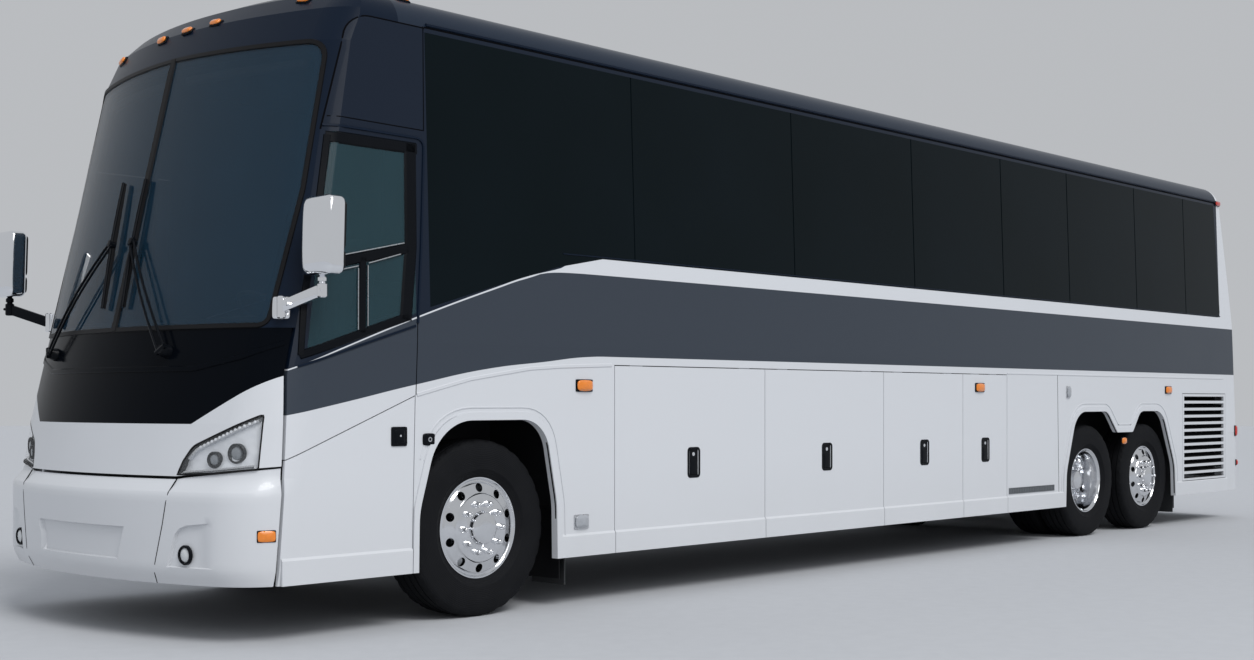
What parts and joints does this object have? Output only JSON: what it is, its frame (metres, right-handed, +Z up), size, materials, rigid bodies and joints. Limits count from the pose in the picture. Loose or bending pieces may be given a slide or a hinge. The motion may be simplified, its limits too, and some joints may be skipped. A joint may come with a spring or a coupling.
{
  "type": "coach bus",
  "caption": "Three-axle highway coach with raked split windscreen, flush dark side glazing, sloping grey belt band, underfloor luggage doors, chrome mirrors and polished wheels.",
  "frame": {"origin": "on the floor under the centre of the bounding box", "axes": "+X towards the front of the coach, +Y towards its left side (the driver's side), +Z up"},
  "size_m": [13.17, 3.16, 3.6398],
  "materials": {
    "white_paint": "gloss",
    "navy_paint": "gloss",
    "tinted_glass": "gloss",
    "clear_glass": "gloss",
    "lamp_lens": "gloss",
    "frame_steel": "satin",
    "engine_metal": "matte",
    "cab_trim": "matte",
    "seat_fabric": "matte",
    "chrome": "polished",
    "polished_aluminium": "polished",
    "tyre": "matte"
  },
  "bodies": {
    "body": {"cab_side_glass": "clear_glass", "cabin_floor": "frame_steel", "dash_panel": "navy_paint", "dashboard": "cab_trim", "drive_axle": "frame_steel", "driver_seat": "seat_fabric", "engine_block": "engine_metal", "entrance_steps": "frame_steel", "front_axle": "frame_steel", "front_bumper": "white_paint", "front_cap": "navy_paint", "front_frame": "frame_steel", "left_headlamp": "lamp_lens", "left_mirror": "chrome", "left_side_glass": "tinted_glass", "left_side_panel": "white_paint", "left_windscreen": "clear_glass", "luggage_bays": "frame_steel", "nose_panel": "white_paint", "rear_bumper": "white_paint", "rear_cap": "white_paint", "rear_frame": "frame_steel", "right_headlamp": "lamp_lens", "right_mirror": "chrome", "right_side_glass": "tinted_glass", "right_side_panel": "white_paint", "right_windscreen": "clear_glass", "roof_panel": "navy_paint", "tag_axle": "frame_steel"},
    "left_knuckle": {"left_knuckle": "frame_steel"},
    "right_knuckle": {"right_knuckle": "frame_steel"},
    "track_rod": {"track_rod": "frame_steel"},
    "left_front_wheel": {"left_front_rim": "polished_aluminium", "left_front_tyre": "tyre"},
    "right_front_wheel": {"right_front_rim": "polished_aluminium", "right_front_tyre": "tyre"},
    "left_drive_wheel": {"left_drive_rim": "polished_aluminium", "left_drive_tyre": "tyre", "left_inner_tyre": "tyre"},
    "right_drive_wheel": {"right_drive_rim": "polished_aluminium", "right_drive_tyre": "tyre", "right_inner_tyre": "tyre"},
    "left_tag_wheel": {"left_tag_rim": "polished_aluminium", "left_tag_tyre": "tyre"},
    "right_tag_wheel": {"right_tag_rim": "polished_aluminium", "right_tag_tyre": "tyre"},
    "left_bay_door_1": {"left_bay_door_1": "white_paint"},
    "left_bay_door_2": {"left_bay_door_2": "white_paint"},
    "left_bay_door_3": {"left_bay_door_3": "white_paint"},
    "left_service_door": {"left_service_door": "white_paint"},
    "right_bay_door_1": {"right_bay_door_1": "white_paint"},
    "right_bay_door_2": {"right_bay_door_2": "white_paint"},
    "right_bay_door_3": {"right_bay_door_3": "white_paint"},
    "front_service_door": {"front_service_door": "white_paint"},
    "entrance_door": {"entrance_door": "white_paint", "entrance_glass": "clear_glass"},
    "radiator_door": {"radiator_door": "white_paint"},
    "engine_door": {"engine_door": "white_paint"},
    "steering_wheel": {"steering_wheel": "cab_trim"}
  },
  "joints": [
    {"name": "left_steer", "type": "hinge", "parent": "body", "child": "left_knuckle", "pos_m": [4.68, 0.9, 0.522], "axis": [0, 0, 1], "range_deg": [-42, 42]},
    {"name": "right_steer", "type": "hinge", "parent": "body", "child": "right_knuckle", "pos_m": [4.68, -0.9, 0.522], "axis": [0, 0, 1], "range_deg": [-42, 42]},
    {"name": "track_rod_pivot", "type": "hinge", "parent": "left_knuckle", "child": "track_rod", "pos_m": [4.43, 0.9, 0.402], "axis": [0, 0, 1], "range_deg": [-42, 42]},
    {"name": "left_front_spin", "type": "hinge", "parent": "left_knuckle", "child": "left_front_wheel", "pos_m": [4.68, 1.086, 0.522], "axis": [0, 1, 0], "continuous": true},
    {"name": "right_front_spin", "type": "hinge", "parent": "right_knuckle", "child": "right_front_wheel", "pos_m": [4.68, -1.086, 0.522], "axis": [0, 1, 0], "continuous": true},
    {"name": "left_drive_spin", "type": "hinge", "parent": "body", "child": "left_drive_wheel", "pos_m": [-3.02, 1.086, 0.522], "axis": [0, 1, 0], "continuous": true},
    {"name": "right_drive_spin", "type": "hinge", "parent": "body", "child": "right_drive_wheel", "pos_m": [-3.02, -1.086, 0.522], "axis": [0, 1, 0], "continuous": true},
    {"name": "left_tag_spin", "type": "hinge", "parent": "body", "child": "left_tag_wheel", "pos_m": [-4.235, 1.086, 0.522], "axis": [0, 1, 0], "continuous": true},
    {"name": "right_tag_spin", "type": "hinge", "parent": "body", "child": "right_tag_wheel", "pos_m": [-4.235, -1.086, 0.522], "axis": [0, 1, 0], "continuous": true},
    {"name": "left_bay_door_1_lift", "type": "hinge", "parent": "body", "child": "left_bay_door_1", "pos_m": [2.81559, 1.297, 1.495], "axis": [1, 0, 0], "range_deg": [0, 115]},
    {"name": "right_bay_door_1_lift", "type": "hinge", "parent": "body", "child": "right_bay_door_1", "pos_m": [2.81559, -1.297, 1.495], "axis": [-1, 0, 0], "range_deg": [0, 115]},
    {"name": "left_bay_door_2_lift", "type": "hinge", "parent": "body", "child": "left_bay_door_2", "pos_m": [1.28251, 1.297, 1.495], "axis": [1, 0, 0], "range_deg": [0, 115]},
    {"name": "right_bay_door_2_lift", "type": "hinge", "parent": "body", "child": "right_bay_door_2", "pos_m": [1.28251, -1.297, 1.495], "axis": [-1, 0, 0], "range_deg": [0, 115]},
    {"name": "left_bay_door_3_lift", "type": "hinge", "parent": "body", "child": "left_bay_door_3", "pos_m": [-0.05967, 1.297, 1.495], "axis": [1, 0, 0], "range_deg": [0, 115]},
    {"name": "right_bay_door_3_lift", "type": "hinge", "parent": "body", "child": "right_bay_door_3", "pos_m": [-0.05967, -1.297, 1.495], "axis": [-1, 0, 0], "range_deg": [0, 115]},
    {"name": "left_service_door_lift", "type": "hinge", "parent": "body", "child": "left_service_door", "pos_m": [-1.01416, 1.297, 1.495], "axis": [1, 0, 0], "range_deg": [0, 115]},
    {"name": "front_service_door_swing", "type": "hinge", "parent": "body", "child": "front_service_door", "pos_m": [6.16, 1.307, 0.7], "axis": [0, 0, -1], "range_deg": [0, 100]},
    {"name": "entrance_door_swing", "type": "hinge", "parent": "body", "child": "entrance_door", "pos_m": [6.16, -1.307, 1.5], "axis": [0, 0, 1], "range_deg": [0, 90]},
    {"name": "radiator_door_swing", "type": "hinge", "parent": "body", "child": "radiator_door", "pos_m": [-4.977, 1.297, 0.9], "axis": [0, 0, -1], "range_deg": [0, 105]},
    {"name": "engine_door_lift", "type": "hinge", "parent": "body", "child": "engine_door", "pos_m": [-6.51339, 0, 1.703], "axis": [0, 1, 0], "range_deg": [0, 100]},
    {"name": "steering_wheel_turn", "type": "hinge", "parent": "body", "child": "steering_wheel", "pos_m": [5.72, 0.62, 1.74], "axis": [-0.5501, 0, 0.8351], "range_deg": [-756, 756]}
  ],
  "couplings": [
    {"joint": "right_steer", "follows": "left_steer", "ratio": 1},
    {"joint": "track_rod_pivot", "follows": "left_steer", "ratio": -1},
    {"joint": "steering_wheel_turn", "follows": "left_steer", "ratio": 18}
  ]
}
